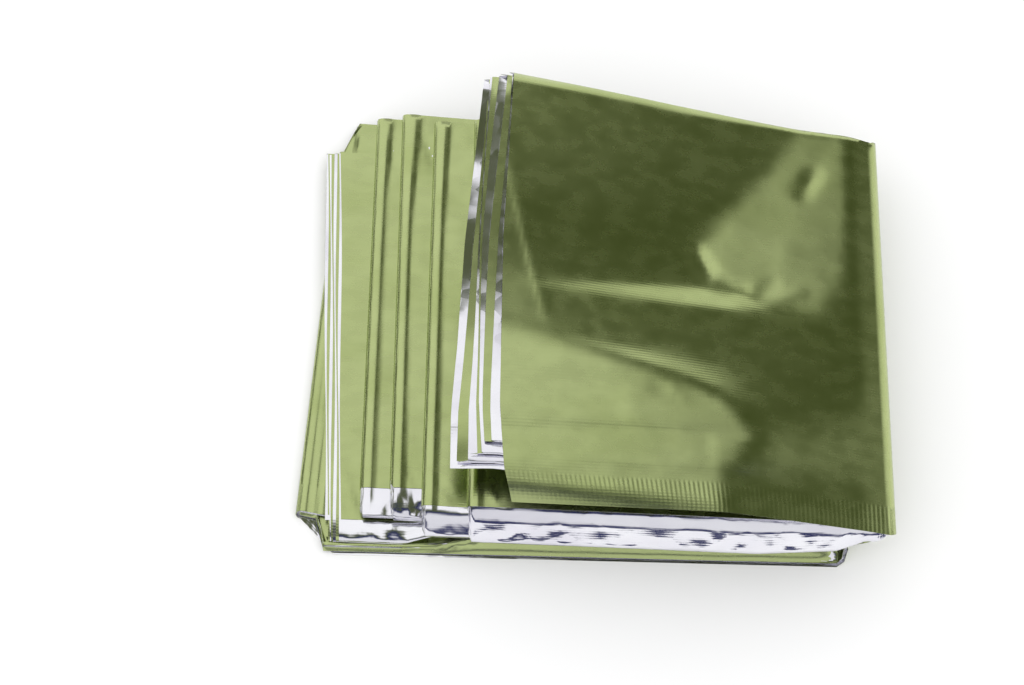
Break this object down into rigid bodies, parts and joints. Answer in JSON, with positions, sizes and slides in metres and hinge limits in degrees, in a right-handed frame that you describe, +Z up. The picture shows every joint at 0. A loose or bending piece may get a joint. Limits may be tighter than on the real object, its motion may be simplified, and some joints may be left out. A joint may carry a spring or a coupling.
{
  "type": "emergency foil blanket",
  "caption": "Metallised film survival blanket, olive outside and silver inside, folded back and forth into a flat packet whose top panel springs up at one side.",
  "frame": {"origin": "on the surface, under the centre of the folded packet's box", "axes": "+X along the folded strip, from the stepped folds to the springy fold that carries the top panel; +Y from the front edge to the back edge; +Z up from the surface"},
  "size_m": [0.2148, 0.175, 0.0438],
  "materials": {
    "foil": "olive tinted metallic film, glossy, bare silver on its inner side"
  },
  "bodies": {
    "root": {"foil_blanket": "foil"}
  },
  "joints": []
}
